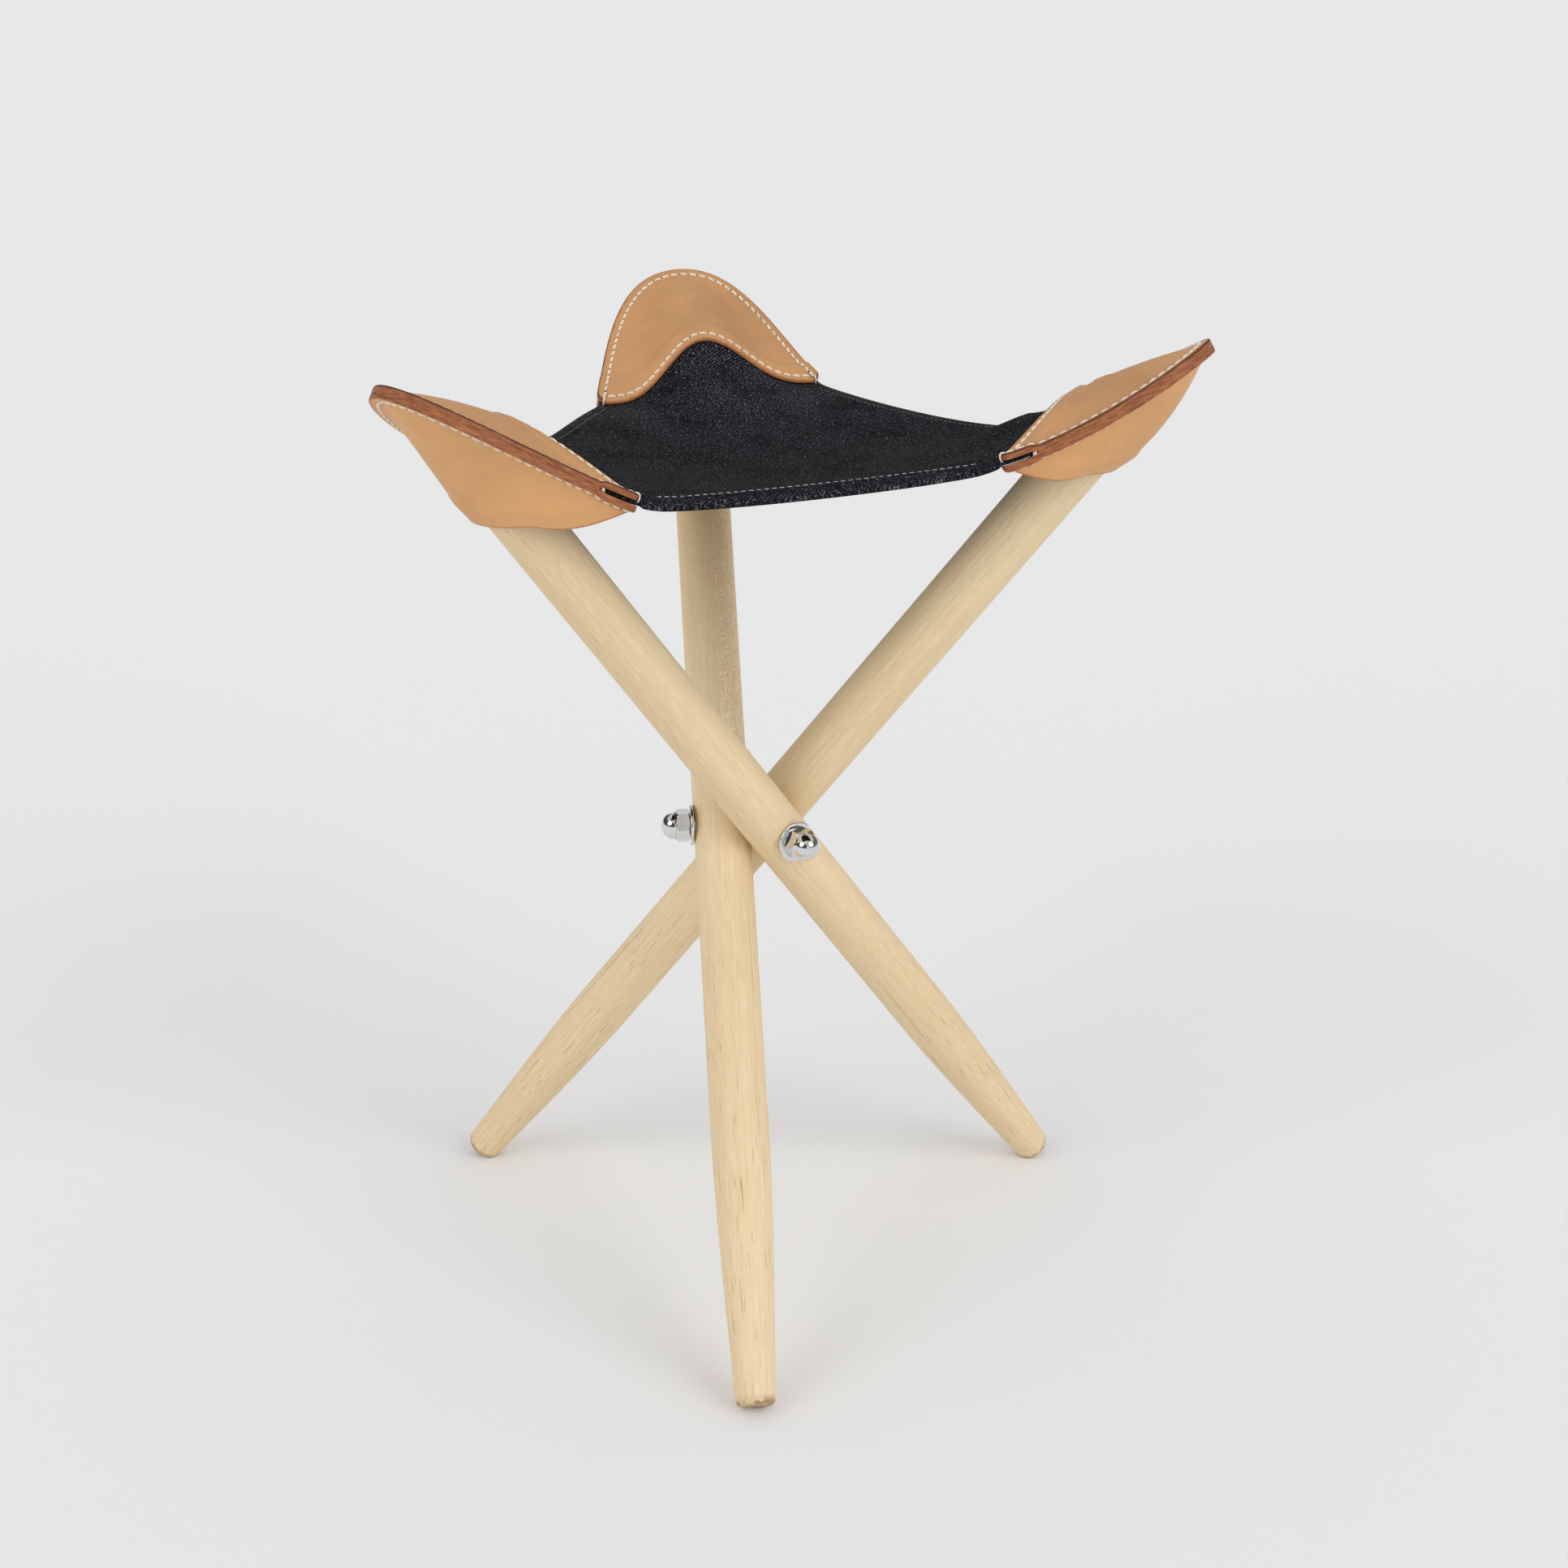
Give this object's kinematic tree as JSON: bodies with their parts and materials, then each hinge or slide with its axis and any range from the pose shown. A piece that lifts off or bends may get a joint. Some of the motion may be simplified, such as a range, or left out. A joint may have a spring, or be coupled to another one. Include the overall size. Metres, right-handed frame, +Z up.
{
  "type": "camping stool",
  "caption": "Folding camping stool with turned wooden legs that cross at a central bolt and a dished denim seat held at its corners by stitched leather pockets.",
  "frame": {"origin": "centre of the bounding box in plan, on the floor under the feet", "axes": "+Z up; -Y is the front, where a hem faces the viewer; +Y points to the back seat corner; +X to the viewer's right"},
  "size_m": [0.3766, 0.3846, 0.4808],
  "materials": {
    "wood": "pale turned hardwood, satin oil",
    "chrome": "polished chrome plate",
    "steel": "plain turned steel",
    "leather": "natural vegetable-tanned leather with burnished edges",
    "denim": "heavy dark indigo denim twill",
    "thread": "waxed cream thread"
  },
  "bodies": {
    "hub": {"tri_bolt": "steel", "washer_back": "chrome", "washer_left": "chrome", "washer_right": "chrome", "cap_nut_back": "chrome", "cap_nut_left": "chrome", "cap_nut_right": "chrome", "seat_panel": "denim", "hem_thread_front": "thread", "hem_thread_left": "thread", "hem_thread_right": "thread"},
    "leg_left": {"leg_left": "wood", "pocket_top_left": "leather", "pocket_under_left": "leather", "rim_thread_left": "thread", "lip_thread_left": "thread"},
    "leg_back": {"leg_back": "wood", "pocket_top_back": "leather", "pocket_under_back": "leather", "rim_thread_back": "thread", "lip_thread_back": "thread"},
    "leg_right": {"leg_right": "wood", "pocket_top_right": "leather", "pocket_under_right": "leather", "rim_thread_right": "thread", "lip_thread_right": "thread"}
  },
  "joints": [
    {"name": "fold_left", "type": "hinge", "parent": "hub", "child": "leg_left", "pos_m": [-0.0021, -0.01398, 0.2273], "axis": [-0.408, 0.913, 0], "range_deg": [0, 24], "deforming": ["seat_panel", "hem_thread_front", "hem_thread_left", "hem_thread_right"]},
    {"name": "fold_back", "type": "hinge", "parent": "hub", "child": "leg_back", "pos_m": [-0.0021, -0.01398, 0.2273], "axis": [0.9947, -0.1032, 0], "range_deg": [0, 24]},
    {"name": "fold_right", "type": "hinge", "parent": "hub", "child": "leg_right", "pos_m": [-0.0021, -0.01398, 0.2273], "axis": [-0.5867, -0.8098, 0], "range_deg": [0, 24]}
  ],
  "couplings": [
    {"joint": "fold_back", "follows": "fold_left", "ratio": 1},
    {"joint": "fold_right", "follows": "fold_left", "ratio": 1}
  ]
}
